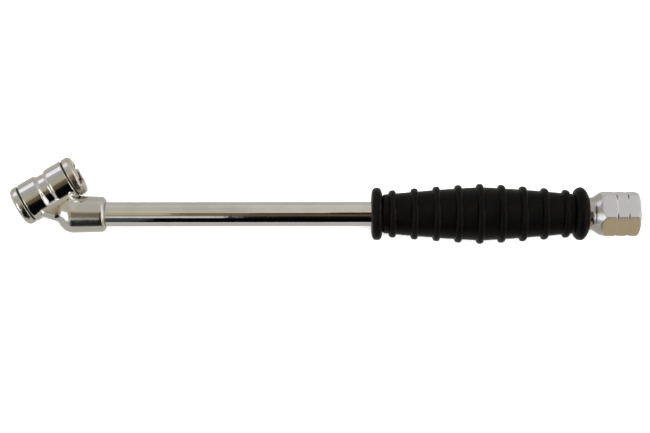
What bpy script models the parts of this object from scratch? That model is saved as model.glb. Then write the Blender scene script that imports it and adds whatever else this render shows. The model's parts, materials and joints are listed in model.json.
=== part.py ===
"""Twin-foot tyre inflating chuck on a wand, lying on its side.

+X runs along the tube from the head to the air inlet, +Z is up, and the origin ends up at the
bottom centre of the whole tool's box. The head's barrel crosses the tube's axis at BARREL_ANGLE in
the XY plane. Its push end faces away from the inlet and its pull end faces back over the tube.

While it is built, the tool's own frame has x = 0 at the mouth of the head's tube socket.
"""

import math

import bmesh
import bpy
from mathutils import Matrix, Vector

MM = 0.001

# Fits
GAP = 0.25 * MM  # clearance between pieces that touch on the real tool

# Tube
TUBE_RADIUS = 5.0 * MM
TUBE_WALL = 2.0 * MM
TUBE_EXPOSED = 108.0 * MM  # bare tube between the head's socket and the grip
TUBE_SEAL_THICKNESS = 1.2 * MM

# Tyre valve side of each barrel end
VALVE_HOLE_RADIUS = 4.3 * MM
SEAL_LAP = 0.7 * MM  # how far the stem seal reaches under the cap's end wall
STEM_SEAL_THICKNESS = 2.0 * MM
STEM_SEAL_HOLE_RADIUS = 2.3 * MM
SEAT_RING_THICKNESS = 1.0 * MM
SEAT_RING_HOLE_RADIUS = 2.1 * MM
SKIRT_WALL = 1.0 * MM
SKIRT_SETBACK = 0.5 * MM  # how far the seat ring stands out of the cap's skirt
GASKET_THICKNESS = 0.4 * MM
GASKET_INSET = 0.15 * MM
PUSH_CAP_THICKNESS = 3.2 * MM
PULL_CAP_THICKNESS = 3.5 * MM
CAP_FILLET = 1.7 * MM
CAP_SLOT_WIDTH = 2.4 * MM
CAP_SLOT_DEPTH = 1.0 * MM
PUSH_SLOT_TURN = math.radians(75)
PULL_SLOT_TURN = math.radians(30)
EDGE_BREAK = 0.4 * MM  # small chamfers on turned edges

# Poppets and springs
PIN_RADIUS = 0.9 * MM
PIN_PROUD = 0.5 * MM  # how far the pin's tip passes the floor of the cap's pocket
POPPET_RADIUS = 3.4 * MM
POPPET_THICKNESS = 0.8 * MM
POPPET_SEAL_RADIUS = 3.2 * MM
POPPET_SEAL_THICKNESS = 0.6 * MM
GUIDE_RADIUS = 1.8 * MM
GUIDE_LENGTH = 1.2 * MM
SPRING_RADIUS = 2.6 * MM
SPRING_WIRE_RADIUS = 0.2 * MM
SPRING_LENGTH = 2.8 * MM
SPRING_TURNS = 3

# Cast head
BARREL_ANGLE = math.radians(30)
BARREL_WALL = 1.8 * MM
BARREL_SETBACK = 23.5 * MM  # barrel's centre behind the socket's mouth
CHAMBER_RADIUS = 4.4 * MM
COUNTERBORE_DEPTH = 4.55 * MM
MIDDLE_WALL = 0.8 * MM  # wall between the two valve chambers
WAIST_WIDTH = 3.5 * MM
WAIST_DEPTH = 0.9 * MM
WAIST_RAMP = 0.7 * MM
CAP_CLEARANCE = 0.25 * MM  # pull cap's edge above the socket
PASSAGE_RADIUS = 2.0 * MM
SOCKET_WALL = 1.95 * MM
SOCKET_DRAFT = 0.34 * MM  # how much wider the socket is at its closed end
SOCKET_STRAIGHT = 13.3 * MM
SOCKET_DOME = 6.7 * MM
SOCKET_LIP = 1.7 * MM
SOCKET_DEPTH = 12.5 * MM
NECK_STEP = 0.5 * MM  # how far the neck's flanks lie inside the socket's sides
NECK_REACH = 7.3 * MM  # how far the neck runs along the barrel towards the push end
NECK_UNDERSIDE = 2.9 * MM  # below the tube's axis where the neck meets the socket's dome

# Grip
GRIP_LENGTH = 90.1 * MM
GRIP_END_RADIUS = 7.45 * MM
GRIP_CROWN = 3.45 * MM  # how much fatter the grip is at its middle
GRIP_SWELL_POWER = 1.245
FRONT_FLANGE_RADIUS = 10.75 * MM
FRONT_FLANGE_WIDTH = 5.0 * MM
FRONT_GROOVE_WIDTH = 1.9 * MM
FRONT_GROOVE_DEPTH = 0.2 * MM
REAR_FLANGE_RADIUS = 10.9 * MM
REAR_FLANGE_RISE = 3.6 * MM  # along the tube, from the last rib's foot to the flange's widest ring
REAR_FLANGE_DOME = 4.4 * MM
REAR_GROOVE_WIDTH = 0.5 * MM
RIB_COUNT = 9
RIB_WIDTH = 3.6 * MM
RIB_HEIGHT = 1.45 * MM
RIB_SECTION = [(-1.0, 0.0), (-0.62, 0.7), (0.0, 1.0), (0.62, 0.7), (1.0, 0.0)]  # of half width, of height

# Inlet connector, measured from the grip's rear end
NECK_WALL = 1.35 * MM
NECK_INSIDE = 12.0 * MM  # length of the connector's neck inside the grip
NECK_OUTSIDE = 0.8 * MM
HEX_ACROSS_FLATS = 17.0 * MM
HEX_LENGTH = 15.4 * MM  # over the corners' full height and the end chamfer
HEX_TURN = math.radians(-9.4)  # of one corner from straight up
CONE_LENGTH = 2.2 * MM
CONE_RISE = 2.0 * MM
SHOULDER_LENGTH = 1.2 * MM
END_FACE_RADIUS = 7.8 * MM
END_CHAMFER_LENGTH = 1.3 * MM
NICK_SPACING = 4.6 * MM
NICK_FROM_FACE = 5.2 * MM
NICK_WIDTH = 0.7 * MM
NICK_DEPTH = 0.5 * MM
THREAD_BORE_RADIUS = 5.9 * MM
THREAD_BORE_DEPTH = 12.0 * MM
INLET_PASSAGE_LENGTH = 3.0 * MM
FILTER_THICKNESS = 0.6 * MM
FILTER_HOLE_RADIUS = 0.45 * MM
FILTER_HOLE_PITCH = 1.5 * MM
FILTER_HOLE_RINGS = 2
FILTER_HOLE_TURN = math.radians(7)
FILTER_RING_THICKNESS = 0.8 * MM
FILTER_RING_WIDTH = 1.3 * MM

# Sizes that follow from the ones above
TUBE_BORE = TUBE_RADIUS - TUBE_WALL
TUBE_POCKET = TUBE_RADIUS + GAP
SOCKET_RADIUS = TUBE_POCKET + SOCKET_WALL
SEAL_RADIUS = VALVE_HOLE_RADIUS + SEAL_LAP
CAP_POCKET_RADIUS = SEAL_RADIUS + GAP
SKIRT_RADIUS = CAP_POCKET_RADIUS + SKIRT_WALL
COUNTERBORE_RADIUS = SKIRT_RADIUS + GAP
BARREL_RADIUS = COUNTERBORE_RADIUS + BARREL_WALL
NECK_RADIUS = TUBE_POCKET + NECK_WALL
HEX_CORNER_RADIUS = HEX_ACROSS_FLATS / 2 / math.cos(math.radians(30))

# Stations along a barrel end, outwards from the barrel's centre
SPRING_START = MIDDLE_WALL / 2 + GAP
POPPET_BACK = SPRING_START + SPRING_LENGTH + GAP
POPPET_FRONT = POPPET_BACK + POPPET_THICKNESS
POPPET_SEAL_START = POPPET_FRONT + GAP
BARREL_SHOULDER = POPPET_SEAL_START + POPPET_SEAL_THICKNESS
SEAT_RING_START = BARREL_SHOULDER + GAP
STEM_SEAL_START = SEAT_RING_START + SEAT_RING_THICKNESS + GAP
POCKET_FLOOR = STEM_SEAL_START + STEM_SEAL_THICKNESS + GAP
BARREL_HALF = BARREL_SHOULDER + COUNTERBORE_DEPTH
GASKET_START = BARREL_HALF + GAP
CAP_BACK = GASKET_START + GASKET_THICKNESS + GAP

# Stations along the tube, from the socket's mouth
BARREL_HEIGHT = (
    SOCKET_RADIUS
    + SOCKET_DRAFT
    + CAP_CLEARANCE
    + BARREL_RADIUS * math.cos(BARREL_ANGLE)
    - CAP_BACK * math.sin(BARREL_ANGLE)
)
HEAD_SEAL_START = -SOCKET_DEPTH + GAP
TUBE_START = HEAD_SEAL_START + TUBE_SEAL_THICKNESS + GAP
GRIP_START = TUBE_EXPOSED
GRIP_END = GRIP_START + GRIP_LENGTH
NECK_START = GRIP_END - NECK_INSIDE
INLET_FACE = GRIP_END + NECK_OUTSIDE + CONE_LENGTH + SHOULDER_LENGTH + HEX_LENGTH
THREAD_FLOOR = INLET_FACE - THREAD_BORE_DEPTH
INLET_POCKET_FLOOR = THREAD_FLOOR - INLET_PASSAGE_LENGTH
INLET_SEAL_START = INLET_POCKET_FLOOR - GAP - TUBE_SEAL_THICKNESS
TUBE_END = INLET_SEAL_START - GAP

# Facets
BIG_ROUND = 32  # sides of the casting, caps, grip and tube
SMALL_ROUND = 20  # sides of the pieces inside
CONNECTOR_ROUND = 36  # sides of the bar that the connector is turned from
FILTER_HOLE_ROUND = 6
SPRING_STEPS = 16  # for each turn of wire
DOME_STEPS = 6  # for a quarter of a dome or half of a bead
FILLET_STEPS = 5
LIP_STEPS = 3
SHARP_EDGE = math.radians(35)


def material(name, color, metallic, roughness):
    made = bpy.data.materials.new(name)
    made.use_nodes = True
    shader = made.node_tree.nodes["Principled BSDF"]
    shader.inputs["Base Color"].default_value = (*color, 1)
    shader.inputs["Metallic"].default_value = metallic
    shader.inputs["Roughness"].default_value = roughness
    return made


def empty(name, parent, matrix):
    made = bpy.data.objects.new(name, None)
    bpy.context.scene.collection.objects.link(made)
    made.parent = parent
    made.matrix_local = matrix
    return made


def add_object(name, data, look, parent):
    made = bpy.data.objects.new(name, data)
    bpy.context.scene.collection.objects.link(made)
    made.parent = parent
    data.materials.append(look)
    return made


def add_mesh(name, mesh_builder, look, parent):
    """One object from a filled bmesh, with round sides smooth and real edges sharp."""
    bmesh.ops.recalc_face_normals(mesh_builder, faces=mesh_builder.faces)
    mesh = bpy.data.meshes.new(name)
    mesh_builder.to_mesh(mesh)
    mesh_builder.free()
    mesh.shade_smooth()
    mesh.set_sharp_from_angle(angle=SHARP_EDGE)
    return add_object(name, mesh, look, parent)


def turned(name, profile, look, parent, sides=BIG_ROUND):
    """A piece turned about the parent's X axis from (station, radius) points.

    The points of a ring go once round its section. A piece with no bore starts and ends with a
    point at radius 0.
    """
    solid = profile[0][1] == 0
    builder = bmesh.new()
    circles = []
    for station, radius in profile:
        if radius == 0:
            circles.append([builder.verts.new((station, 0, 0))] * sides)
            continue
        turns = [2 * math.pi * step / sides for step in range(sides)]
        circles.append(
            [builder.verts.new((station, radius * math.cos(a), radius * math.sin(a))) for a in turns]
        )
    pairs = list(zip(circles, circles[1:]))
    if not solid:
        pairs.append((circles[-1], circles[0]))
    for first, second in pairs:
        for step in range(sides):
            after = (step + 1) % sides
            corners = [first[step], first[after], second[after], second[step]]
            builder.faces.new(list(dict.fromkeys(corners)))
    return add_mesh(name, builder, look, parent)


def washer(name, start, thickness, hole_radius, radius, look, parent, sides=SMALL_ROUND):
    end = start + thickness
    profile = [(start, hole_radius), (start, radius), (end, radius), (end, hole_radius)]
    return turned(name, profile, look, parent, sides)


def prism(name, outline, low, high, look, parent):
    """A straight prism: an outline of (a, b) points in the XY plane, from z = low to z = high."""
    builder = bmesh.new()
    bottom = [builder.verts.new((a, b, low)) for a, b in outline]
    top = [builder.verts.new((a, b, high)) for a, b in outline]
    builder.faces.new(bottom)
    builder.faces.new(top)
    for index in range(len(outline)):
        after = (index + 1) % len(outline)
        builder.faces.new([bottom[index], bottom[after], top[after], top[index]])
    return add_mesh(name, builder, look, parent)


def arc(center_x, center_r, radius_x, radius_r, start, end, steps):
    """Points of an elliptical arc, angles in degrees from +x towards +r."""
    angles = [math.radians(start + (end - start) * step / steps) for step in range(steps + 1)]
    return [(center_x + radius_x * math.cos(a), center_r + radius_r * math.sin(a)) for a in angles]


def cut(target, tool, operation):
    tool.hide_render = True
    tool.display_type = "WIRE"
    modifier = target.modifiers.new(tool.name, "BOOLEAN")
    modifier.operation = operation
    modifier.solver = "EXACT"
    modifier.object = tool


def barrel_point(along, below):
    """Tool-frame XY of a point on the barrel's mid plane, below its axis."""
    axis = Vector((math.cos(BARREL_ANGLE), math.sin(BARREL_ANGLE)))
    down = Vector((math.sin(BARREL_ANGLE), -math.cos(BARREL_ANGLE)))
    return Vector((-BARREL_SETBACK, BARREL_HEIGHT)) + along * axis + below * down


def make_head(tool, barrel, ends, look):
    """The casting: waisted barrel, neck and domed tube socket, then its bores and air passage."""
    ramp_end = WAIST_WIDTH / 2 + WAIST_RAMP
    waist_radius = BARREL_RADIUS - WAIST_DEPTH
    half_profile = [
        (WAIST_WIDTH / 2, waist_radius),
        (ramp_end, BARREL_RADIUS),
        (BARREL_HALF - EDGE_BREAK / 2, BARREL_RADIUS),
        (BARREL_HALF, BARREL_RADIUS - EDGE_BREAK / 2),
        (BARREL_HALF, 0),
    ]
    mirrored = [(-station, radius) for station, radius in reversed(half_profile)]
    head = turned("head_body", mirrored + half_profile, look, barrel)

    dome = arc(-SOCKET_STRAIGHT, 0, SOCKET_DOME, SOCKET_RADIUS + SOCKET_DRAFT, 180, 90, DOME_STEPS)
    dome[0] = (dome[0][0], 0)
    lip = arc(-SOCKET_LIP, SOCKET_RADIUS - SOCKET_LIP, SOCKET_LIP, SOCKET_LIP, 90, 0, LIP_STEPS)
    socket = turned("socket_shape", dome + lip + [(0, 0)], look, tool)
    cut(head, socket, "UNION")

    neck_half = SOCKET_RADIUS - NECK_STEP
    inside_barrel = CHAMBER_RADIUS
    outline = [
        barrel_point(-NECK_REACH, inside_barrel),
        barrel_point(-NECK_REACH, BARREL_RADIUS - GAP),
        Vector((-SOCKET_STRAIGHT - SOCKET_DOME, -NECK_UNDERSIDE)),
        Vector((-SOCKET_DEPTH, 0)),
        Vector((-SOCKET_DEPTH + SOCKET_LIP, SOCKET_RADIUS - SOCKET_LIP)),
        barrel_point(BARREL_HALF - SOCKET_LIP, inside_barrel),
    ]
    neck = prism("neck_shape", outline, -neck_half, neck_half, look, tool)
    cut(head, neck, "UNION")

    beyond = BARREL_HALF + CAP_BACK
    bore = [
        (MIDDLE_WALL / 2, 0),
        (MIDDLE_WALL / 2, CHAMBER_RADIUS),
        (BARREL_SHOULDER, CHAMBER_RADIUS),
        (BARREL_SHOULDER, COUNTERBORE_RADIUS),
        (beyond, COUNTERBORE_RADIUS),
        (beyond, 0),
    ]
    for end_name, end in ends.items():
        cut(head, turned(f"{end_name}_bore", bore, look, end), "DIFFERENCE")

    bore = [(-SOCKET_DEPTH, 0), (-SOCKET_DEPTH, TUBE_POCKET), (SOCKET_LIP, TUBE_POCKET), (SOCKET_LIP, 0)]
    cut(head, turned("socket_bore", bore, look, tool), "DIFFERENCE")

    start = Vector((TUBE_SEAL_THICKNESS - SOCKET_DEPTH, 0))
    path = barrel_point(0, CHAMBER_RADIUS - PASSAGE_RADIUS + GAP) - start
    aim = Matrix.Rotation(math.atan2(path.y, path.x), 4, "Z")
    passage_place = empty("passage_axis", tool, Matrix.Translation(start.to_3d()) @ aim)
    bore = [(0, 0), (0, PASSAGE_RADIUS), (path.length, PASSAGE_RADIUS), (path.length, 0)]
    cut(head, turned("air_passage", bore, look, passage_place, SMALL_ROUND), "DIFFERENCE")


def make_cap(end_name, end, thickness, slot_turn, look):
    """A screwed cap: threaded skirt in the barrel, rounded flange, valve hole and driver slot."""
    face = CAP_BACK + thickness
    fillet = min(CAP_FILLET, thickness - EDGE_BREAK)
    skirt_end = SEAT_RING_START + SKIRT_SETBACK
    profile = [
        (skirt_end, CAP_POCKET_RADIUS),
        (skirt_end, SKIRT_RADIUS),
        (CAP_BACK, SKIRT_RADIUS),
        (CAP_BACK, BARREL_RADIUS),
        *arc(face - fillet, BARREL_RADIUS - fillet, fillet, fillet, 90, 0, FILLET_STEPS),
        (face, VALVE_HOLE_RADIUS + EDGE_BREAK),
        (face - EDGE_BREAK, VALVE_HOLE_RADIUS),
        (POCKET_FLOOR, VALVE_HOLE_RADIUS),
        (POCKET_FLOOR, CAP_POCKET_RADIUS),
    ]
    cap = turned(f"{end_name}_cap", profile, look, end)
    slot_place = empty(f"{end_name}_slot_place", end, Matrix.Rotation(slot_turn, 4, "X"))
    corners = [(-1, -1), (1, -1), (1, 1), (-1, 1)]
    outline = [(face + CAP_SLOT_DEPTH * x, CAP_SLOT_WIDTH / 2 * y) for x, y in corners]
    reach = BARREL_RADIUS + SOCKET_LIP
    cut(cap, prism(f"{end_name}_slot", outline, -reach, reach, look, slot_place), "DIFFERENCE")


def make_poppet(end_name, end, look):
    """A brass poppet: guide for the spring, flange, and the pin that opens the tyre's valve."""
    tip = POCKET_FLOOR + PIN_PROUD
    edge = EDGE_BREAK / 2
    profile = [
        (POPPET_BACK - GUIDE_LENGTH, 0),
        (POPPET_BACK - GUIDE_LENGTH, GUIDE_RADIUS - edge),
        (POPPET_BACK - GUIDE_LENGTH + edge, GUIDE_RADIUS),
        (POPPET_BACK, GUIDE_RADIUS),
        (POPPET_BACK, POPPET_RADIUS),
        (POPPET_FRONT, POPPET_RADIUS),
        (POPPET_FRONT, PIN_RADIUS),
        (tip - edge, PIN_RADIUS),
        (tip, PIN_RADIUS - edge),
        (tip, 0),
    ]
    turned(f"{end_name}_poppet", profile, look, end, SMALL_ROUND)


def make_spring(end_name, end, look):
    """A round-wire spring between the middle wall and the poppet's flange."""
    steps = SPRING_STEPS * SPRING_TURNS
    low = SPRING_START + SPRING_WIRE_RADIUS
    climb = SPRING_LENGTH - 2 * SPRING_WIRE_RADIUS
    curve = bpy.data.curves.new(f"{end_name}_spring", "CURVE")
    curve.dimensions = "3D"
    curve.bevel_depth = SPRING_WIRE_RADIUS
    curve.bevel_resolution = 1
    curve.use_fill_caps = True
    spline = curve.splines.new("POLY")
    spline.points.add(steps)
    for step, point in enumerate(spline.points):
        turn = 2 * math.pi * SPRING_TURNS * step / steps
        across = SPRING_RADIUS * math.cos(turn)
        up = SPRING_RADIUS * math.sin(turn)
        point.co = (low + climb * step / steps, across, up, 1)
    add_object(f"{end_name}_spring", curve, look, end)


def make_end(end_name, end, cap_thickness, slot_turn, looks):
    """All the pieces of one barrel end."""
    make_cap(end_name, end, cap_thickness, slot_turn, looks["chrome"])
    washer(
        f"{end_name}_cap_gasket",
        GASKET_START,
        GASKET_THICKNESS,
        SKIRT_RADIUS + GAP,
        BARREL_RADIUS - GASKET_INSET,
        looks["seal"],
        end,
        BIG_ROUND,
    )
    washer(
        f"{end_name}_stem_seal",
        STEM_SEAL_START,
        STEM_SEAL_THICKNESS,
        STEM_SEAL_HOLE_RADIUS,
        SEAL_RADIUS,
        looks["seal"],
        end,
    )
    washer(
        f"{end_name}_seat_ring",
        SEAT_RING_START,
        SEAT_RING_THICKNESS,
        SEAT_RING_HOLE_RADIUS,
        SEAL_RADIUS,
        looks["brass"],
        end,
    )
    washer(
        f"{end_name}_poppet_seal",
        POPPET_SEAL_START,
        POPPET_SEAL_THICKNESS,
        PIN_RADIUS + GAP,
        POPPET_SEAL_RADIUS,
        looks["seal"],
        end,
    )
    make_poppet(end_name, end, looks["brass"])
    make_spring(end_name, end, looks["spring_steel"])


def grip_body_radius(station):
    """Radius of the grip between its ribs, at a distance from its front end."""
    off_middle = abs(2 * station / GRIP_LENGTH - 1)
    return GRIP_END_RADIUS + GRIP_CROWN * (1 - off_middle**GRIP_SWELL_POWER)


def make_grip(tool, look):
    """The rubber grip: front flange, ribs along a barrel-shaped body, domed rear flange, bores."""
    front_round = FRONT_FLANGE_WIDTH / 2
    outer = arc(front_round, FRONT_FLANGE_RADIUS - front_round, front_round, front_round, 180, 0, DOME_STEPS)
    groove = FRONT_FLANGE_WIDTH + FRONT_GROOVE_WIDTH / 2
    outer.append((groove, grip_body_radius(groove) - FRONT_GROOVE_DEPTH))
    rear_peak = GRIP_LENGTH - REAR_FLANGE_DOME
    rear_start = rear_peak - REAR_FLANGE_RISE
    first_rib = FRONT_FLANGE_WIDTH + FRONT_GROOVE_WIDTH + RIB_WIDTH / 2
    last_rib = rear_start - REAR_GROOVE_WIDTH - RIB_WIDTH / 2
    pitch = (last_rib - first_rib) / (RIB_COUNT - 1)
    for rib in range(RIB_COUNT):
        middle = first_rib + rib * pitch
        for across, height in RIB_SECTION:
            station = middle + across * RIB_WIDTH / 2
            outer.append((station, grip_body_radius(station) + height * RIB_HEIGHT))
    rear_foot = grip_body_radius(rear_start)
    rear_height = REAR_FLANGE_RADIUS - rear_foot
    outer += arc(rear_peak, rear_foot, REAR_FLANGE_RISE, rear_height, 180, 90, LIP_STEPS)[:-1]
    neck_pocket = NECK_RADIUS + GAP
    dome_end = math.degrees(math.asin((neck_pocket + EDGE_BREAK) / REAR_FLANGE_RADIUS))
    outer += arc(rear_peak, 0, REAR_FLANGE_DOME, REAR_FLANGE_RADIUS, 90, dome_end, LIP_STEPS + 1)
    step = GRIP_LENGTH - NECK_INSIDE - GAP
    bore = [(outer[-1][0], neck_pocket), (step, neck_pocket), (step, TUBE_POCKET), (0, TUBE_POCKET)]
    profile = [(GRIP_START + station, radius) for station, radius in outer + bore]
    turned("grip", profile, look, tool)


def make_inlet(tool, looks):
    """The hexagonal female connector, with the gauze filter and its ring on the bore's floor."""
    corner = HEX_CORNER_RADIUS
    bar = corner / math.cos(math.pi / CONNECTOR_ROUND)  # its flats lie just outside the hexagon
    cone_start = GRIP_END + NECK_OUTSIDE
    cone_end = cone_start + CONE_LENGTH
    nicks = []
    for middle in (INLET_FACE - NICK_FROM_FACE - NICK_SPACING, INLET_FACE - NICK_FROM_FACE):
        nicks += [
            (middle - NICK_WIDTH / 2, bar),
            (middle, corner - NICK_DEPTH),
            (middle + NICK_WIDTH / 2, bar),
        ]
    end_face = min(END_FACE_RADIUS, corner - EDGE_BREAK)
    profile = [
        (NECK_START, TUBE_POCKET),
        (NECK_START, NECK_RADIUS),
        (cone_start, NECK_RADIUS),
        (cone_end, NECK_RADIUS + CONE_RISE),
        (cone_end + SHOULDER_LENGTH, bar),
        *nicks,
        (INLET_FACE - END_CHAMFER_LENGTH, bar),
        (INLET_FACE, end_face),
        (INLET_FACE, THREAD_BORE_RADIUS + EDGE_BREAK),
        (INLET_FACE - EDGE_BREAK, THREAD_BORE_RADIUS),
        (THREAD_FLOOR, THREAD_BORE_RADIUS),
        (THREAD_FLOOR, TUBE_BORE),
        (INLET_POCKET_FLOOR, TUBE_BORE),
        (INLET_POCKET_FLOOR, TUBE_POCKET),
    ]
    connector = turned("inlet_connector", profile, looks["chrome"], tool, CONNECTOR_ROUND)
    turn_to_x = Matrix.Rotation(math.radians(90), 4, "Y") @ Matrix.Rotation(math.pi - HEX_TURN, 4, "Z")
    hex_place = empty("hex_axis", tool, turn_to_x)
    corner_turns = [math.radians(60 * side) for side in range(6)]
    outline = [(corner * math.cos(a), corner * math.sin(a)) for a in corner_turns]
    hexagon = prism("hex_bar", outline, NECK_START - GAP, INLET_FACE + GAP, looks["chrome"], hex_place)
    cut(connector, hexagon, "INTERSECT")

    screen_radius = THREAD_BORE_RADIUS - GAP
    screen_start = THREAD_FLOOR + GAP
    screen_end = screen_start + FILTER_THICKNESS
    ring_start = screen_end + GAP
    disc = [(screen_start, 0), (screen_start, screen_radius), (screen_end, screen_radius), (screen_end, 0)]
    screen = turned("filter_screen", disc, looks["mesh_steel"], tool)
    for ring in range(FILTER_HOLE_RINGS + 1):
        count = max(1, 6 * ring)  # one in the middle, then six more in each ring
        for index in range(count):
            angle = FILTER_HOLE_TURN + 2 * math.pi * index / count
            across = FILTER_HOLE_PITCH * ring * math.cos(angle)
            up = FILTER_HOLE_PITCH * ring * math.sin(angle)
            place = empty(f"mesh_hole_place_{ring}_{index}", tool, Matrix.Translation((0, across, up)))
            profile = [
                (THREAD_FLOOR, 0),
                (THREAD_FLOOR, FILTER_HOLE_RADIUS),
                (ring_start, FILTER_HOLE_RADIUS),
                (ring_start, 0),
            ]
            name = f"mesh_hole_{ring}_{index}"
            hole = turned(name, profile, looks["mesh_steel"], place, FILTER_HOLE_ROUND)
            cut(screen, hole, "DIFFERENCE")
    washer(
        "filter_ring",
        ring_start,
        FILTER_RING_THICKNESS,
        screen_radius - FILTER_RING_WIDTH,
        screen_radius,
        looks["spring_steel"],
        tool,
    )


def make_tube(tool, looks):
    """The steel tube and the seals under its two ends."""
    length = TUBE_END - TUBE_START
    washer("tube", TUBE_START, length, TUBE_BORE, TUBE_RADIUS, looks["chrome"], tool, BIG_ROUND)
    for name, start in (("tube_head_seal", HEAD_SEAL_START), ("tube_inlet_seal", INLET_SEAL_START)):
        washer(name, start, TUBE_SEAL_THICKNESS, TUBE_BORE, TUBE_RADIUS, looks["seal"], tool)


def stand_on_floor(tool):
    """Moves the tool so that the bottom centre of its box is the world's origin."""
    bpy.context.view_layer.update()
    graph = bpy.context.evaluated_depsgraph_get()
    corners = []
    for piece in bpy.context.scene.objects:
        if piece.type == "EMPTY" or piece.hide_render:
            continue
        evaluated = piece.evaluated_get(graph)
        mesh = evaluated.to_mesh()
        corners += [evaluated.matrix_world @ vertex.co for vertex in mesh.vertices]
        evaluated.to_mesh_clear()
    low = [min(corner[axis] for corner in corners) for axis in range(3)]
    high = [max(corner[axis] for corner in corners) for axis in range(3)]
    tool.location -= Vector(((low[0] + high[0]) / 2, (low[1] + high[1]) / 2, low[2]))
    bpy.context.view_layer.update()


def main():
    for old in list(bpy.data.objects):
        bpy.data.objects.remove(old)
    looks = {
        "chrome": material("chrome", (0.72, 0.71, 0.68), 1.0, 0.12),
        "rubber": material("rubber", (0.018, 0.018, 0.018), 0.0, 0.55),
        "seal": material("seal", (0.03, 0.03, 0.03), 0.0, 0.6),
        "brass": material("brass", (0.78, 0.6, 0.28), 1.0, 0.25),
        "spring_steel": material("spring_steel", (0.5, 0.5, 0.5), 1.0, 0.3),
        "mesh_steel": material("mesh_steel", (0.6, 0.6, 0.58), 1.0, 0.35),
    }
    tool = empty("tool", None, Matrix.Identity(4))
    barrel_place = Matrix.Translation((-BARREL_SETBACK, BARREL_HEIGHT, 0))
    barrel = empty("barrel_axis", tool, barrel_place @ Matrix.Rotation(BARREL_ANGLE, 4, "Z"))
    ends = {
        "push": empty("push_end", barrel, Matrix.Rotation(math.pi, 4, "Z")),
        "pull": empty("pull_end", barrel, Matrix.Identity(4)),
    }
    make_head(tool, barrel, ends, looks["chrome"])
    make_end("push", ends["push"], PUSH_CAP_THICKNESS, PUSH_SLOT_TURN, looks)
    make_end("pull", ends["pull"], PULL_CAP_THICKNESS, PULL_SLOT_TURN, looks)
    make_tube(tool, looks)
    make_grip(tool, looks["rubber"])
    make_inlet(tool, looks)
    stand_on_floor(tool)


main()
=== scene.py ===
"""Looks for the twin-foot tyre inflating wand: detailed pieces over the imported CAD, materials, stage.

Pieces are built in millimetres, in the tool frame or in an end frame, and placed by the CAD. The
tool frame has x = 0 at the mouth of the head's tube socket and +X along the tube. Each end frame has
x = 0 at the barrel's centre and +X out through that end's valve hole.
"""

import json
import math

import bpy
import numpy as np
from mathutils import Matrix, Vector


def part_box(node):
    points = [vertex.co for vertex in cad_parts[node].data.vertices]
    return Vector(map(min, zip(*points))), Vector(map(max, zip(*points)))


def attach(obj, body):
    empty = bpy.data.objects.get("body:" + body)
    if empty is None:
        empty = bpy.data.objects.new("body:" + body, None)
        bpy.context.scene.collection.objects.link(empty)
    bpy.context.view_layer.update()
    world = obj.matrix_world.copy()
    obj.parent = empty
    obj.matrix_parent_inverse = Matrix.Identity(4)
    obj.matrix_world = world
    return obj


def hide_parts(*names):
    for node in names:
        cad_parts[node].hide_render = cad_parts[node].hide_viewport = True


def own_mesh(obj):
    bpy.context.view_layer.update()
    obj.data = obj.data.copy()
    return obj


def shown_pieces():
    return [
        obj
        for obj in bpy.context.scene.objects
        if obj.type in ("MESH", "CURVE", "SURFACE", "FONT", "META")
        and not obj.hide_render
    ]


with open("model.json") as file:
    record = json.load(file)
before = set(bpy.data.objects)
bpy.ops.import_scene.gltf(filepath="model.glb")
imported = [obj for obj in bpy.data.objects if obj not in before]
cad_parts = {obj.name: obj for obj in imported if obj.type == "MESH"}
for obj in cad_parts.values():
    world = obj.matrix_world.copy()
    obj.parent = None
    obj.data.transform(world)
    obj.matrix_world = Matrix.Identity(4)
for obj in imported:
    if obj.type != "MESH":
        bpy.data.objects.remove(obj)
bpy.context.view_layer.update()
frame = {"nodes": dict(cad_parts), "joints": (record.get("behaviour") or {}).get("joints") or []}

MM = 0.001

# Barrel and its valve chambers, in millimetres from the barrel's centre
BARREL_RADIUS = 8.3
BARREL_HALF = 10.0
WAIST_HALF = 1.5
WAIST_RAMP = 1.2
WAIST_DEPTH = 0.9
CHAMBER_RADIUS = 4.4
CHAMBER_START = 0.4
COUNTERBORE_RADIUS = 6.5
COUNTERBORE_START = 5.35
CAP_BACK = 10.6
SKIRT_START = 6.1
SKIRT_RADIUS = 6.25
POCKET_RADIUS = 5.25
POCKET_FLOOR = 9.1
VALVE_HOLE_RADIUS = 4.3
CAP_FACES = {"push": 14.0, "pull": 14.3}
SLOT_TURNS = {"push": math.radians(75), "pull": math.radians(30)}
SLOT_HALF = 1.2
SLOT_DEPTH = 1.0
GASKET_HOLE = 6.4
GASKET_RADIUS = 7.55

# Valves, also from the barrel's centre
WASHER_BACK = 6.87
WASHER_FRONT = 8.83
WASHER_HOLE = 2.3
WASHER_MOUTH = 3.1  # radius of the hole's wide front
WASHER_RADIUS = 4.98
POPPET_BACK = 3.7
POPPET_FRONT = 4.5
POPPET_RADIUS = 3.4
SPIGOT_LENGTH = 1.2
SPIGOT_RADIUS = 1.8
PIN_RADIUS = 0.9
PIN_GROOVE = 8.875  # middle of the groove
PIN_TIP = 9.6
SPRING_START = 0.65
SPRING_END = 3.45
SPRING_RADIUS = 2.6
SPRING_WIRE = 0.2
SPRING_TURNS = 3

# Neck and socket, in the tool frame
SOCKET_RADIUS = 7.2
SOCKET_DRAFT = 0.34  # how much wider the socket is at its dome than at its mouth
SOCKET_STRAIGHT = 13.3
SOCKET_DOME = 6.7
SOCKET_DEPTH = 12.5
SOCKET_LIP = 2.0
BORE_RADIUS = 5.25
NECK_HALF = 6.7
NECK_EDGE = 3.2  # how far its edges are rounded
NECK_REACH = 7.3
NECK_UNDERSIDE = 2.9

TUBE_RADIUS = 5.0
TUBE_BORE = 3.0

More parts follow.
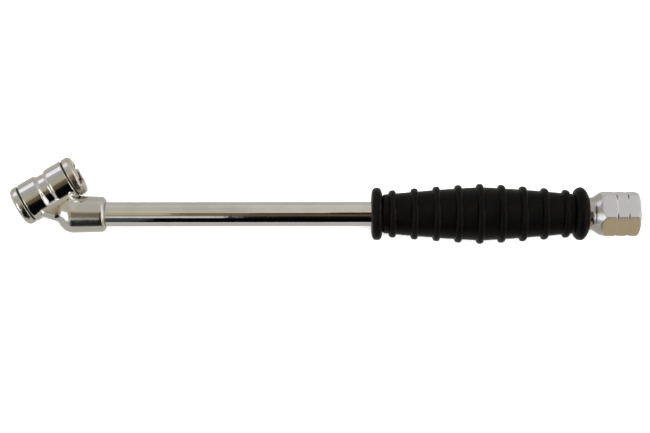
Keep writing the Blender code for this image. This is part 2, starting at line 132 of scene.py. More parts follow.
# Grip, from its front end
GRIP_LENGTH = 90.1  # of the whole barrel shape; the neck hole cuts a little off its domed end
GRIP_END_RADIUS = 7.45
GRIP_CROWN = 3.45
GRIP_SWELL_POWER = 1.245
FRONT_FLANGE_RADIUS = 10.75
FRONT_FLANGE_START = 0.4
FRONT_FLANGE_WIDTH = 4.85
FRONT_FLANGE_FOOT = 7.0
REAR_FLANGE_RADIUS = 10.9
REAR_FLANGE_RISE = 3.0
REAR_FLANGE_DOME = 4.2
FIRST_RIB = 8.9
RIB_BOW = 0.3  # how far the middle rib is off even spacing
LAST_RIB_FROM_END = 10.3
RIB_COUNT = 9
RIB_HALF = 1.5
RIB_HEIGHT = 1.4
SEAM_HEIGHT = 0.05
SHELF_FROM_END = 12.25  # where the hole widens from the tube to the connector's neck

# Inlet connector, back from its end face
INLET_LENGTH = 31.6
HEX_LENGTH = 15.6
HEX_HALF = 8.5
HEX_CORNER = 9.815
HEX_TURN = math.radians(-9.4)
CONNECTOR_NECK = 6.6
CONE_FROM_FACE = 19.15
CONE_SLOPE = 0.68
CHAMFER_LENGTH = 1.3
END_FACE_RADIUS = 7.8
NICKS_FROM_FACE = (5.2, 9.8)
NICK_HALF = 0.55
NICK_DEPTH = 1.05
THREAD_CREST = 5.75
THREAD_DEPTH = 0.6
THREAD_PITCH = 1.337
THREAD_LENGTH = 12.0
INLET_MOUTH = 6.7  # radius of the countersink at the face
PASSAGE_LENGTH = 3.0
GAUZE_PITCH = 0.62
GAUZE_WIRE = 0.13
GAUZE_LIFT = 0.12
RING_WIDTH = 1.3


# ---------------------------------------------------------------- places in the frame


def middle(node):
    """The middle of a CAD node's box."""
    low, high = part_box(node)
    return (low + high) / 2


def place_frames():
    """The tool frame and the two end frames, as matrices from metres in the piece to the row frame."""
    axis = Vector(frame["joints"][0]["axis"]).normalized()  # the push poppet moves in towards the pull end
    centre = (middle("push_poppet") + middle("pull_poppet")) / 2
    tube = middle("tube")
    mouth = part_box("head_body")[1].x
    tool = Matrix.Translation((mouth, tube.y, tube.z))
    up = Vector((0, 0, 1))
    ends = {}
    for name, out in (("push", -axis), ("pull", axis)):
        turn = Matrix((out, up.cross(out), up)).transposed().to_4x4()
        ends[name] = Matrix.Translation(centre) @ turn
    return tool, ends


TOOL, ENDS = place_frames()
GRIP_START = (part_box("grip")[0].x - TOOL.translation.x) / MM
INLET_FACE = (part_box("inlet_connector")[1].x - TOOL.translation.x) / MM


# ---------------------------------------------------------------- mesh builders


def add_mesh(name, points, faces, place, look, normals=None):
    """A smooth mesh object from points in millimetres, put where place says."""
    turn = np.array(place.to_3x3())
    points = (np.asarray(points) * MM) @ turn.T + np.array(place.translation)
    if isinstance(faces, np.ndarray):
        faces = faces.tolist()
    mesh = bpy.data.meshes.new(name)
    mesh.from_pydata(points.tolist(), [], faces)
    mesh.update()
    mesh.shade_smooth()
    if normals is not None:
        mesh.normals_split_custom_set_from_vertices((normals @ turn.T).tolist())
    made = bpy.data.objects.new(name, mesh)
    bpy.context.scene.collection.objects.link(made)
    mesh.materials.append(look)
    return made


def smooth_max(a, b, blend):
    """The larger of two distances, with the edge between them rounded over about blend."""
    near = np.maximum(blend - np.abs(a - b), 0) / blend
    return np.maximum(a, b) + near * near * blend / 4


def smooth_min(a, b, blend):
    """The smaller of two distances, with the crease between them filled over about blend."""
    return -smooth_max(-a, -b, blend)


def slope_of(distance, points, reach=0.01):
    """How fast the distance grows along each axis, at each point."""
    rise = np.empty_like(points)
    for axis in range(3):
        ahead, behind = points.copy(), points.copy()
        ahead[:, axis] += reach
        behind[:, axis] -= reach
        rise[:, axis] = (distance(ahead) - distance(behind)) / (2 * reach)
    return rise


def skin(name, distance, low, high, step, place, look):
    """The surface where distance is zero, as quads about step wide with exact points and normals.

    The distance is sampled on a grid. Each grid line that the surface crosses gives one quad, between
    the four cells round it. A cell's corner starts at the mean of its crossings and is then moved
    onto the surface.
    """
    low = np.array(low, float)
    sides = [np.arange(a, b + step, step) for a, b in zip(low, high)]
    value = np.empty([len(side) for side in sides])
    for index, x in enumerate(sides[0]):
        y, z = np.meshgrid(sides[1], sides[2], indexing="ij")
        slab = np.stack([np.full(y.size, x), y.ravel(), z.ravel()], 1)
        value[index] = distance(slab).reshape(y.shape)
    total = np.zeros((*value.shape, 3))
    count = np.zeros(value.shape)
    quads = []
    for axis in range(3):
        across, along = (axis + 1) % 3, (axis + 2) % 3
        first = value[tuple(slice(0, -1) if a == axis else slice(None) for a in range(3))]
        second = value[tuple(slice(1, None) if a == axis else slice(None) for a in range(3))]
        crossed = (first < 0) != (second < 0)
        index = np.argwhere(crossed)
        point = low + index * step
        point[:, axis] += step * first[crossed] / (first[crossed] - second[crossed])
        ring = []
        for back_across, back_along in ((0, 0), (1, 0), (1, 1), (0, 1)):
            cell = index.copy()
            cell[:, across] -= back_across
            cell[:, along] -= back_along
            np.add.at(total, tuple(cell.T), point)
            np.add.at(count, tuple(cell.T), 1)
            ring.append(np.ravel_multi_index(tuple(cell.T), value.shape))
        ring = np.stack(ring, 1)
        outward = first[crossed] < 0
        quads.append(np.where(outward[:, None], ring, ring[:, ::-1]))
    used = np.flatnonzero(count.ravel())
    points = total.reshape(-1, 3)[used] / count.ravel()[used][:, None]
    faces = np.searchsorted(used, np.concatenate(quads))
    for _ in range(5):
        rise = slope_of(distance, points)
        steep = np.maximum((rise**2).sum(1), 0.05)
        move = np.clip(distance(points) / steep, -step, step)
        points -= move[:, None] * rise
    rise = slope_of(distance, points)
    normals = rise / np.maximum(np.linalg.norm(rise, axis=1), 1e-9)[:, None]
    return add_mesh(name, points, faces, place, look, normals)


def lathe(name, profile, place, look, sides=96, closed=True, sharp=40, height=None):
    """A piece turned about its X axis from (station, radius) points, with its real edges sharp.

    height, if given, is a function of stations, angles and radii that returns new radii.
    """
    profile = np.array(profile, float)
    angles = np.arange(sides) * 2 * math.pi / sides
    station = np.repeat(profile[:, :1], sides, 1)
    radius = np.repeat(profile[:, 1:], sides, 1)
    turn = np.repeat(angles[None, :], len(profile), 0)
    if height:
        radius = height(station, turn, radius)
    points = np.stack([station, radius * np.cos(turn), radius * np.sin(turn)], 2).reshape(-1, 3)
    rows = len(profile)
    faces = []
    for row in range(rows if closed else rows - 1):
        a, b = row * sides, (row + 1) % rows * sides
        faces += [(a + i, a + (i + 1) % sides, b + (i + 1) % sides, b + i) for i in range(sides)]
    made = add_mesh(name, points, faces, place, look)
    if sharp:
        made.data.set_sharp_from_angle(angle=math.radians(sharp))
    return made


def rounded(profile, radius, steps=4):
    """The closed profile with each corner replaced by a small curve that starts radius away from it."""
    points = [Vector(p) for p in profile]
    made = []
    for index, corner in enumerate(points):
        before, after = points[index - 1], points[(index + 1) % len(points)]
        back = min(radius, (before - corner).length * 0.45)
        ahead = min(radius, (after - corner).length * 0.45)
        start = corner + (before - corner).normalized() * back
        end = corner + (after - corner).normalized() * ahead
        for step in range(steps + 1):
            t = step / steps
            made.append(tuple((1 - t) ** 2 * start + 2 * t * (1 - t) * corner + t * t * end))
    return made


def wire_mesh(paths, wire, sides):
    """Points and faces of round wires of radius wire, swept along open paths of (x, y, z) points."""
    points, faces = [], []
    for path in paths:
        path = np.asarray(path, float)
        along = np.gradient(path, axis=0)
        along /= np.linalg.norm(along, axis=1)[:, None]
        side = np.cross(along, (1.0, 0.0, 0.0))
        side /= np.linalg.norm(side, axis=1)[:, None]
        up = np.cross(side, along)
        first = len(points)
        for centre, s, u in zip(path, side, up):
            for k in range(sides):
                a = 2 * math.pi * k / sides
                points.append(centre + wire * (math.cos(a) * s + math.sin(a) * u))
        for row in range(len(path) - 1):
            a, b = first + row * sides, first + (row + 1) * sides
            faces += [(a + k, b + k, b + (k + 1) % sides, a + (k + 1) % sides) for k in range(sides)]
        last = first + (len(path) - 1) * sides
        faces.append(tuple(first + k for k in range(sides)))
        faces.append(tuple(last + k for k in reversed(range(sides))))
    return points, faces


# ---------------------------------------------------------------- materials


class Look:
    """A Principled material whose colour, roughness and relief come from procedural nodes."""

    def __init__(self, name, metallic):
        self.material = bpy.data.materials.new(name)
        self.material.use_nodes = True
        self.tree = self.material.node_tree
        self.shader = self.tree.nodes["Principled BSDF"]
        self.shader.inputs["Metallic"].default_value = metallic
        self.place = self.tree.nodes.new("ShaderNodeTexCoord").outputs["Object"]

    def mapped(self, stretch=(1, 1, 1), turn=(0, 0, 0), origin=(0, 0, 0)):
        node = self.tree.nodes.new("ShaderNodeMapping")
        node.vector_type = "TEXTURE"
        node.inputs["Location"].default_value = origin
        node.inputs["Rotation"].default_value = turn
        node.inputs["Scale"].default_value = stretch
        self.tree.links.new(self.place, node.inputs["Vector"])
        return node.outputs["Vector"]

    def noise(self, size, detail=3, vector=None, distortion=0.0):
        """Noise with features about size millimetres across."""
        node = self.tree.nodes.new("ShaderNodeTexNoise")
        node.inputs["Scale"].default_value = 1 / (size * MM)
        node.inputs["Detail"].default_value = detail
        node.inputs["Distortion"].default_value = distortion
        self.tree.links.new(vector or self.place, node.inputs["Vector"])
        return node.outputs["Fac"]

    def cells(self, size):
        node = self.tree.nodes.new("ShaderNodeTexVoronoi")
        node.feature = "SMOOTH_F1"
        node.inputs["Scale"].default_value = 1 / (size * MM)
        self.tree.links.new(self.place, node.inputs["Vector"])
        return node.outputs["Distance"]

    def rings(self, size, vector):
        """Fine turning marks, round the vector's X axis."""
        node = self.tree.nodes.new("ShaderNodeTexWave")
        node.wave_type = "RINGS"
        node.rings_direction = "X"
        node.inputs["Scale"].default_value = 1 / (size * MM * 20)
        node.inputs["Distortion"].default_value = 1.2
        node.inputs["Detail"].default_value = 2
        self.tree.links.new(vector, node.inputs["Vector"])
        return node.outputs["Fac"]

    def edges(self, low, high, most=1):
        """most on edges and 0 elsewhere: outer edges with low under high, hollows the other way round."""
        node = self.tree.nodes.new("ShaderNodeNewGeometry")
        return self.ranged(node.outputs["Pointiness"], low, high, 0, most)

    def axis_part(self, vector, axis):
        node = self.tree.nodes.new("ShaderNodeSeparateXYZ")
        self.tree.links.new(vector, node.inputs[0])
        return node.outputs[axis]

    def ranged(self, value, low, high, to_low, to_high, smooth=False):
        node = self.tree.nodes.new("ShaderNodeMapRange")
        if smooth:
            node.interpolation_type = "SMOOTHSTEP"
        node.inputs["From Min"].default_value = low
        node.inputs["From Max"].default_value = high
        node.inputs["To Min"].default_value = to_low
        node.inputs["To Max"].default_value = to_high
        self.tree.links.new(value, node.inputs["Value"])
        return node.outputs["Result"]

    def joined(self, a, b, operation="ADD"):
        node = self.tree.nodes.new("ShaderNodeMath")
        node.operation = operation
        for value, socket in zip((a, b), node.inputs):
            if isinstance(value, (int, float)):
                socket.default_value = value
            else:
                self.tree.links.new(value, socket)
        return node.outputs["Value"]

    def color(self, first, second, share):
        """A base colour mixed from two."""
        node = self.tree.nodes.new("ShaderNodeMix")
        node.data_type = "RGBA"
        node.inputs["A"].default_value = (*first, 1)
        node.inputs["B"].default_value = (*second, 1)
        self.tree.links.new(share, node.inputs["Factor"])
        self.tree.links.new(node.outputs["Result"], self.shader.inputs["Base Color"])
        return node

    def over(self, mix, second, share):
        """Lays another colour over a mix that color() made."""
        node = self.tree.nodes.new("ShaderNodeMix")
        node.data_type = "RGBA"
        self.tree.links.new(mix.outputs["Result"], node.inputs["A"])
        node.inputs["B"].default_value = (*second, 1)
        self.tree.links.new(share, node.inputs["Factor"])
        self.tree.links.new(node.outputs["Result"], self.shader.inputs["Base Color"])
        return node

    def rough(self, value):
        self.tree.links.new(value, self.shader.inputs["Roughness"])

    def relief(self, height, depth):
        """Adds relief depth millimetres deep to what the shader has."""
        node = self.tree.nodes.new("ShaderNodeBump")
        node.inputs["Distance"].default_value = depth * MM
        node.inputs["Strength"].default_value = 1.0
        self.tree.links.new(height, node.inputs["Height"])
        had = self.shader.inputs["Normal"]
        if had.is_linked:
            self.tree.links.new(had.links[0].from_socket, node.inputs["Normal"])
        self.tree.links.new(node.outputs["Normal"], had)


def in_end_frame(look, name):
    """The look's coordinates in the frame of the named end of the barrel."""
    return look.mapped(turn=ENDS[name].to_euler(), origin=ENDS[name].translation)


def plate(name, tint, stretch=(1, 1, 1)):
    """Bright plate with duller patches, paler worn edges, faint waviness and hairlines."""
    look = Look(name, 1.0)
    dull, worn = (tuple(share * part for part in tint) for share in (0.94, 1.12))
    mix = look.color(tint, dull, look.ranged(look.noise(9, 3), 0.4, 0.65, 0, 1))
    look.over(mix, worn, look.edges(0.62, 0.75, 0.6))
    look.relief(look.noise(4.0, 2), 0.02)
    look.relief(look.noise(0.35, 2, look.mapped(stretch)), 0.0012)
    return look


def smudged_plate(name, roughness, tint, stretch=(1, 1, 1)):
    """Plate with smudges and a fine grain in its gloss."""
    look = plate(name, tint, stretch)
    smudge = look.ranged(look.noise(5, 5, distortion=0.6), 0.35, 0.7, 0, 0.05)
    grain = look.ranged(look.noise(0.5, 3, look.mapped(stretch)), 0.3, 0.7, 0, 0.03)
    look.rough(look.joined(look.joined(smudge, grain), roughness))
    return look


def cast_look():
    """Polished on the barrel, and satin from just below it to the socket's mouth."""
    cast = plate("cast_chrome_plate", (0.51, 0.50, 0.46))
    height = cast.axis_part(in_end_frame(cast, "pull"), "Y")
    satin_from, polished_from = -(BARREL_RADIUS + 1.3) * MM, -(BARREL_RADIUS - 0.4) * MM
    polish = cast.ranged(height, satin_from, polished_from, 0.18, 0.045, smooth=True)
    smudge = cast.ranged(cast.noise(5, 5, distortion=0.6), 0.35, 0.7, 0, 0.045)
    cast.rough(cast.joined(polish, smudge))
    cast.relief(cast.noise(1.6, 3), 0.012)
    return cast.material


def cap_look(end, roughness, tint):
    """Turned and plated, with turning marks round the valve hole."""
    cap = smudged_plate(f"{end}_cap_chrome_plate", roughness, tint)
    cap.relief(cap.rings(0.3, in_end_frame(cap, end)), 0.0025)
    return cap.material


def hex_look():
    """Satin flats with painted shade in their hollows, and a glossier cone behind them painted darker as
    painted shade.
    """
    hexagon = Look("hex_satin_chrome", 1.0)
    along = hexagon.axis_part(hexagon.place, "X")
    hex_start = TOOL.translation.x + (INLET_FACE - HEX_LENGTH) * MM
    mix = hexagon.color((0.575, 0.57, 0.585), (0.51, 0.505, 0.51), hexagon.noise(6, 4))
    # Painted shade: the cone behind the hexagon is painted darker to dim its reflections.
    painted_cone_shade = hexagon.ranged(along, hex_start - 0.5 * MM, hex_start + 0.3 * MM, 0.85, 0, smooth=True)
    mix = hexagon.over(mix, (0.39, 0.375, 0.345), painted_cone_shade)
    mix = hexagon.over(mix, (0.72, 0.71, 0.69), hexagon.edges(0.55, 0.65, 0.7))
    # Painted shade: concave places, the hollows by the flats and in the nicks, are painted near-black.
    hexagon.over(mix, (0.10, 0.09, 0.075), hexagon.edges(0.47, 0.38, 0.85))
    satin = hexagon.ranged(along, hex_start - 0.6 * MM, hex_start + 0.4 * MM, 0.2, 0.33, smooth=True)
    patch = hexagon.ranged(hexagon.noise(3, 4), 0.3, 0.7, -0.02, 0.05)
    hexagon.rough(hexagon.joined(satin, patch))
    hexagon.relief(hexagon.noise(0.3, 3, hexagon.mapped((1, 9, 9))), 0.006)
    hexagon.relief(hexagon.noise(2.5, 2), 0.008)
    return hexagon.material


def thread_look():
    """Cut metal, with painted shade in the thread's roots."""
    thread = Look("thread_cut_steel", 1.0)
    mix = thread.color((0.58, 0.57, 0.55), (0.46, 0.45, 0.43), thread.noise(3, 4))
    # Painted shade: concave places, the thread's roots, are painted dark.
    thread.over(mix, (0.10, 0.09, 0.07), thread.edges(0.49, 0.44, 0.8))
    thread.rough(thread.ranged(thread.noise(0.8, 4), 0.3, 0.7, 0.18, 0.32))
    thread.relief(thread.noise(0.2, 3), 0.004)
    return thread.material


def grip_look():
    """Matt black rubber, dusty in places, with a painted highlight on the rib crests that is stronger towards
    the front.
    """
    rubber = Look("grip_rubber_moulded", 0.0)
    patches = rubber.ranged(rubber.noise(7, 4), 0.35, 0.7, 0, 1)
    mix = rubber.color((0.0004, 0.0004, 0.0006), (0.0012, 0.0011, 0.001), patches)
    dust = rubber.ranged(rubber.noise(0.7, 6), 0.6, 0.78, 0, 0.5)
    mix = rubber.over(mix, (0.006, 0.0055, 0.0045), dust)
    front = TOOL.translation.x + GRIP_START * MM
    # Painted highlight: the rib crests are painted paler and warmer, most at the front.
    rib_highlight_share = rubber.ranged(rubber.axis_part(rubber.place, "X"), front, front + 85 * MM, 0.9, 0.25)
    rubber.over(mix, (0.019, 0.0155, 0.010), rubber.joined(rubber.edges(0.5, 0.58), rib_highlight_share, "MULTIPLY"))
    rubber.rough(rubber.ranged(rubber.noise(2.2, 5), 0.3, 0.7, 0.3, 0.45))
    rubber.relief(rubber.noise(0.22, 4), 0.03)
    rubber.relief(rubber.cells(0.9), 0.02)
    rubber.relief(rubber.noise(0.55, 2, rubber.mapped((0.35, 6, 6))), 0.012)
    rubber.shader.inputs["Specular IOR Level"].default_value = 0.05
    return rubber.material


def seal_look():
    seal = Look("seal_rubber_smooth", 0.0)
    seal.color((0.008, 0.008, 0.008), (0.018, 0.018, 0.017), seal.noise(2, 4))
    seal.rough(seal.ranged(seal.noise(0.8, 4), 0.3, 0.7, 0.35, 0.55))
    seal.relief(seal.noise(0.25, 3), 0.01)
    seal.shader.inputs["Specular IOR Level"].default_value = 0.15
    return seal.material


def brass_look(end):
    """Turned brass with brown spots and turning marks."""
    brass = Look(f"{end}_turned_brass", 1.0)
    patches = brass.ranged(brass.noise(2.5, 4), 0.35, 0.7, 0, 1)
    mix = brass.color((0.78, 0.58, 0.27), (0.62, 0.44, 0.19), patches)
    brass.over(mix, (0.30, 0.22, 0.13), brass.ranged(brass.noise(0.8, 5), 0.62, 0.8, 0, 0.5))
    brass.rough(brass.ranged(brass.noise(0.6, 4), 0.3, 0.7, 0.16, 0.32))
    brass.relief(brass.rings(0.12, in_end_frame(brass, end)), 0.003)
    return brass.material


def spring_look():
    spring = Look("spring_wire_steel", 1.0)
    spring.color((0.50, 0.50, 0.50), (0.38, 0.37, 0.36), spring.noise(1.0, 4))
    spring.rough(spring.ranged(spring.noise(0.4, 3), 0.3, 0.7, 0.2, 0.38))
    spring.relief(spring.noise(0.15, 3), 0.004)
    return spring.material


def gauze_look():
    gauze = Look("gauze_wire_steel", 1.0)
    gauze.color((0.56, 0.55, 0.53), (0.40, 0.39, 0.37), gauze.noise(0.9, 4))
    gauze.rough(gauze.ranged(gauze.noise(0.3, 3), 0.3, 0.7, 0.25, 0.42))
    gauze.relief(gauze.noise(0.12, 2), 0.003)
    return gauze.material


def make_looks():
    return {
        "cast": cast_look(),
        "push_cap": cap_look("push", 0.12, (0.50, 0.49, 0.44)),
        "pull_cap": cap_look("pull", 0.2, (0.52, 0.475, 0.41)),
        "tube": smudged_plate("tube_chrome_plate", 0.03, (0.56, 0.55, 0.52), (30, 1, 1)).material,
        "hex": hex_look(),
        "thread": thread_look(),
        "rubber": grip_look(),
        "seal": seal_look(),
        "push_brass": brass_look("push"),
        "pull_brass": brass_look("pull"),
        "spring": spring_look(),
        "gauze": gauze_look(),
    }


# ---------------------------------------------------------------- the cast head


def polygon_distance(x, y, corners):
    """Signed distance from (x, y) to a polygon, negative inside."""
    nearest = np.full(x.shape, np.inf)
    inside = np.zeros(x.shape, bool)
    for (ax, ay), (bx, by) in zip(corners, corners[1:] + corners[:1]):
        ex, ey = bx - ax, by - ay
        wx, wy = x - ax, y - ay
        share = np.clip((wx * ex + wy * ey) / (ex * ex + ey * ey), 0, 1)
        nearest = np.minimum(nearest, (wx - ex * share) ** 2 + (wy - ey * share) ** 2)
        if ay != by:
            inside ^= ((ay > y) != (by > y)) & (wx < wy * ex / ey)
    return np.where(inside, -1, 1) * np.sqrt(nearest)


TO_BARREL = np.array((ENDS["pull"].inverted() @ TOOL).to_3x3())
BARREL_CENTRE = np.array((TOOL.inverted() @ ENDS["pull"]).translation) / MM


def barrel_point(along, below):
    """Tool-frame (x, y) of a point on the barrel's mid plane, below its axis."""
    x, y, _ = BARREL_CENTRE + TO_BARREL.T @ np.array((along, -below, 0))
    return float(x), float(y)


NECK_OUTLINE = [
    barrel_point(-NECK_REACH, CHAMBER_RADIUS),
    barrel_point(-NECK_REACH, BARREL_RADIUS - 0.25),
    (-SOCKET_STRAIGHT - SOCKET_DOME, -NECK_UNDERSIDE),
    (-SOCKET_DEPTH, 0.0),
    (-SOCKET_DEPTH + 1.7, SOCKET_RADIUS - 1.7),
    barrel_point(BARREL_HALF - 1.7, CHAMBER_RADIUS),
]


def cylinder_cut(station, radius, low, high, size, blend=0.2):
    """Distance to a round solid of radius size between two stations, with its edges rounded."""
    return smooth_max(radius - size, smooth_max(low - station, station - high, blend), blend)


def head_distance(points):
    """Distance to the casting, in the tool frame: barrel, neck and socket blended, then its bores."""
    barrel = (points - BARREL_CENTRE) @ TO_BARREL.T
    station, radius = np.abs(barrel[:, 0]), np.hypot(barrel[:, 1], barrel[:, 2])
    ramp = BARREL_RADIUS - WAIST_DEPTH * (1 - (station - WAIST_HALF) / WAIST_RAMP)
    outer = smooth_min(smooth_max(ramp, BARREL_RADIUS - WAIST_DEPTH, 0.3), BARREL_RADIUS, 0.3)
    shape = smooth_max(radius - outer, station - BARREL_HALF, 0.5)

    x, across = points[:, 0], np.hypot(points[:, 1], points[:, 2])
    closed_radius = SOCKET_RADIUS + SOCKET_DRAFT
    side = across - np.interp(x, (-SOCKET_STRAIGHT, 0), (closed_radius, SOCKET_RADIUS))
    into = np.minimum(x + SOCKET_STRAIGHT, 0) / SOCKET_DOME
    dome = (np.hypot(into, across / closed_radius) - 1) * closed_radius
    socket = smooth_max(np.where(x < -SOCKET_STRAIGHT, dome, side), x, SOCKET_LIP)
    neck = polygon_distance(x, points[:, 1], NECK_OUTLINE)
    neck = smooth_max(neck + 0.2, np.abs(points[:, 2]) - NECK_HALF, NECK_EDGE)
    shape = smooth_min(smooth_min(socket, neck, 1.4), shape, 0.9)

    chamber = cylinder_cut(station, radius, CHAMBER_START, COUNTERBORE_START + 1, CHAMBER_RADIUS)
    chamber = np.minimum(chamber, cylinder_cut(station, radius, COUNTERBORE_START, 20, COUNTERBORE_RADIUS))
    flare = 0.6 * np.clip(x + 1, 0, 1) ** 2
    pocket = cylinder_cut(x, across - flare, -SOCKET_DEPTH, 5, BORE_RADIUS)
    return smooth_max(shape, -np.minimum(chamber, pocket), 0.25)


def make_head(looks):
    """The casting, over a box that holds the barrel and the socket."""
    ends = [BARREL_CENTRE + TO_BARREL.T @ np.array((s * BARREL_HALF, 0, 0)) for s in (-1, 1)]
    low = np.minimum(*ends) - BARREL_RADIUS - 1
    high = np.maximum(*ends) + BARREL_RADIUS + 1
    low[1] = min(low[1], -SOCKET_RADIUS - 1.5)
    high[0] = max(high[0], 1.0)
    low[2], high[2] = -BARREL_RADIUS - 1, BARREL_RADIUS + 1
    head = skin("cast_head", head_distance, low, high, 0.25, TOOL, looks["cast"])
    finish_piece(head, "wand", "cast_chrome", "head_body")


# ---------------------------------------------------------------- caps and valves


def make_cap(end, looks):
    """A screwed cap: skirt in the barrel, rounded flange, valve hole and driver slot."""
    face, turn = CAP_FACES[end], SLOT_TURNS[end]

    def distance(points):
        station, radius = points[:, 0], np.hypot(points[:, 1], points[:, 2])
        flange = smooth_max(radius - BARREL_RADIUS, station - face, 2.0)
        flange = smooth_max(flange, CAP_BACK - station, 0.4)
        skirt = cylinder_cut(station, radius, SKIRT_START, CAP_BACK + 1, SKIRT_RADIUS)
        hole = cylinder_cut(station, radius, -5, 30, VALVE_HOLE_RADIUS)
        pocket = cylinder_cut(station, radius, -5, POCKET_FLOOR, POCKET_RADIUS)
        shape = smooth_max(np.minimum(flange, skirt), -np.minimum(hole, pocket), 0.45)
        off = points[:, 1] * math.cos(turn) + points[:, 2] * math.sin(turn)
        slot = smooth_max(np.abs(off) - SLOT_HALF, face - SLOT_DEPTH - station, 0.2)
        return smooth_max(shape, -slot, 0.3)

    reach = BARREL_RADIUS + 0.7
    low, high = (SKIRT_START - 0.7, -reach, -reach), (face + 0.7, reach, reach)
    step = 0.2
    cap = skin(f"{end}_cap_turned", distance, low, high, step, ENDS[end], looks[f"{end}_cap"])
    finish_piece(cap, "wand", "cap_chrome", f"{end}_cap")


def make_seals(end, looks):
    """The joint ring under the cap and the washer that a tyre's valve stem presses on."""
    low, high = BARREL_HALF - 0.02, CAP_BACK + 0.02
    profile = [(low, GASKET_HOLE), (low, GASKET_RADIUS), (high, GASKET_RADIUS), (high, GASKET_HOLE)]
    gasket = lathe(f"{end}_joint_ring", rounded(profile, 0.1), ENDS[end], looks["seal"])
    finish_piece(gasket, "wand", "seal_rubber", f"{end}_cap_gasket")

    profile = [
        (WASHER_BACK, WASHER_HOLE),
        (WASHER_BACK, WASHER_RADIUS),
        (WASHER_FRONT, WASHER_RADIUS),
        (WASHER_FRONT, WASHER_MOUTH),
        (WASHER_FRONT - 0.48, WASHER_HOLE + 0.15),
    ]
    seal = lathe(f"{end}_stem_washer", rounded(profile, 0.25), ENDS[end], looks["seal"])
    finish_piece(seal, "wand", "seal_rubber", f"{end}_stem_seal")


def make_poppet(end, looks):
    """A brass poppet: spring spigot, disc and the grooved pin that opens the tyre's valve."""
    profile = [
        (POPPET_BACK - SPIGOT_LENGTH, 0.001),
        (POPPET_BACK - SPIGOT_LENGTH, SPIGOT_RADIUS - 0.2),
        (POPPET_BACK - SPIGOT_LENGTH + 0.2, SPIGOT_RADIUS),
        (POPPET_BACK - 0.1, SPIGOT_RADIUS),
        (POPPET_BACK, POPPET_RADIUS - 0.1),
        (POPPET_BACK + 0.1, POPPET_RADIUS),
        (POPPET_FRONT - 0.1, POPPET_RADIUS),
        (POPPET_FRONT, POPPET_RADIUS - 0.1),
        (POPPET_FRONT, PIN_RADIUS + 0.25),
        (POPPET_FRONT + 0.35, PIN_RADIUS),
        (PIN_GROOVE - 0.175, PIN_RADIUS),
        (PIN_GROOVE - 0.075, PIN_RADIUS - 0.12),
        (PIN_GROOVE + 0.075, PIN_RADIUS - 0.12),
        (PIN_GROOVE + 0.175, PIN_RADIUS),
        (PIN_TIP - 0.3, PIN_RADIUS - 0.02),
        (PIN_TIP - 0.08, 0.62),
        (PIN_TIP, 0.3),
        (PIN_TIP, 0.001),
    ]
    look = looks[f"{end}_brass"]
    poppet = lathe(f"{end}_valve_poppet", profile, ENDS[end], look, 64, closed=False, sharp=35)
    finish_piece(poppet, f"{end}_valve", "brass", f"{end}_poppet")


def make_spring(end, looks):
    """The poppet's return spring, whose coils sit closer at both ends."""
    place = ENDS[end]
    low = SPRING_START + SPRING_WIRE
    climb = SPRING_END - SPRING_START - 2 * SPRING_WIRE
    steps = 32 * SPRING_TURNS
    path = []
    for step in range(steps + 1):
        share = step / steps
        settled = share - 0.035 * math.sin(4 * math.pi * share)
        a = 2 * math.pi * SPRING_TURNS * share
        path.append((low + climb * settled, SPRING_RADIUS * math.cos(a), SPRING_RADIUS * math.sin(a)))
    points, faces = wire_mesh([path], SPRING_WIRE, 10)
    spring = add_mesh(f"{end}_valve_spring", points, faces, place, looks["spring"])
    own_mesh(spring)
    finish_piece(spring, "wand", "spring_steel", f"{end}_spring")


# ---------------------------------------------------------------- tube, grip, inlet


def stations(node):
    """Where a node starts and ends along the tool's axis, in the tool frame."""
    return [(corner.x - TOOL.translation.x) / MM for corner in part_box(node)]


def make_tube(looks):
    """The plain round tube, with both ends rounded over."""
    start, end = stations("tube")
    profile = [(start, TUBE_BORE), (start, TUBE_RADIUS), (end, TUBE_RADIUS), (end, TUBE_BORE)]
    profile = rounded(profile, 0.35)
    tube = lathe("chromed_tube", profile, TOOL, looks["tube"], 160)
    finish_piece(tube, "wand", "tube_chrome", "tube")


def grip_body(station):
    """The grip's radius between its ribs."""
    off = abs(2 * station / GRIP_LENGTH - 1)
    return GRIP_END_RADIUS + GRIP_CROWN * (1 - off**GRIP_SWELL_POWER)


def bead(centre, half, foot_radius, height, steps, squareness):
    """Points over a rounded bead on a turned body, from its near foot to its far one."""
    made = []
    for step in range(steps + 1):
        a = math.pi * (1 - step / steps)
        station = centre + half * math.copysign(abs(math.cos(a)) ** squareness, math.cos(a))
        made.append((station, foot_radius(station) + height * math.sin(a) ** squareness))
    return made


def front_flange():
    """Points from the grip's hole over the front flange and down to its body."""
    half = (FRONT_FLANGE_WIDTH - FRONT_FLANGE_START) / 2
    height = FRONT_FLANGE_RADIUS - FRONT_FLANGE_FOOT
    made = [(FRONT_FLANGE_START, TUBE_RADIUS + 0.05), (FRONT_FLANGE_START, TUBE_RADIUS + 0.6)]
    made += bead(FRONT_FLANGE_START + half, half, lambda station: FRONT_FLANGE_FOOT, height, 28, 0.72)
    made.append((FRONT_FLANGE_WIDTH + 0.25, grip_body(FRONT_FLANGE_WIDTH + 0.5) - 0.25))
    return made


def rear_flange(inner):
    """Points up to the rear flange's edge, then over its dome to the neck hole of radius inner."""
    peak = GRIP_LENGTH - REAR_FLANGE_DOME
    foot = grip_body(peak - REAR_FLANGE_RISE)
    made = []
    for step in range(14):
        a = math.radians(180 - 90 * step / 14)
        radius = foot + (REAR_FLANGE_RADIUS - foot) * math.sin(a) ** 0.9
        made.append((peak + REAR_FLANGE_RISE * math.cos(a), radius))
    last = math.asin((inner + 0.35) / REAR_FLANGE_RADIUS)
    for step in range(21):
        a = math.pi / 2 + (last - math.pi / 2) * step / 20
        made.append((peak + REAR_FLANGE_DOME * math.cos(a), REAR_FLANGE_RADIUS * math.sin(a)))
    return made


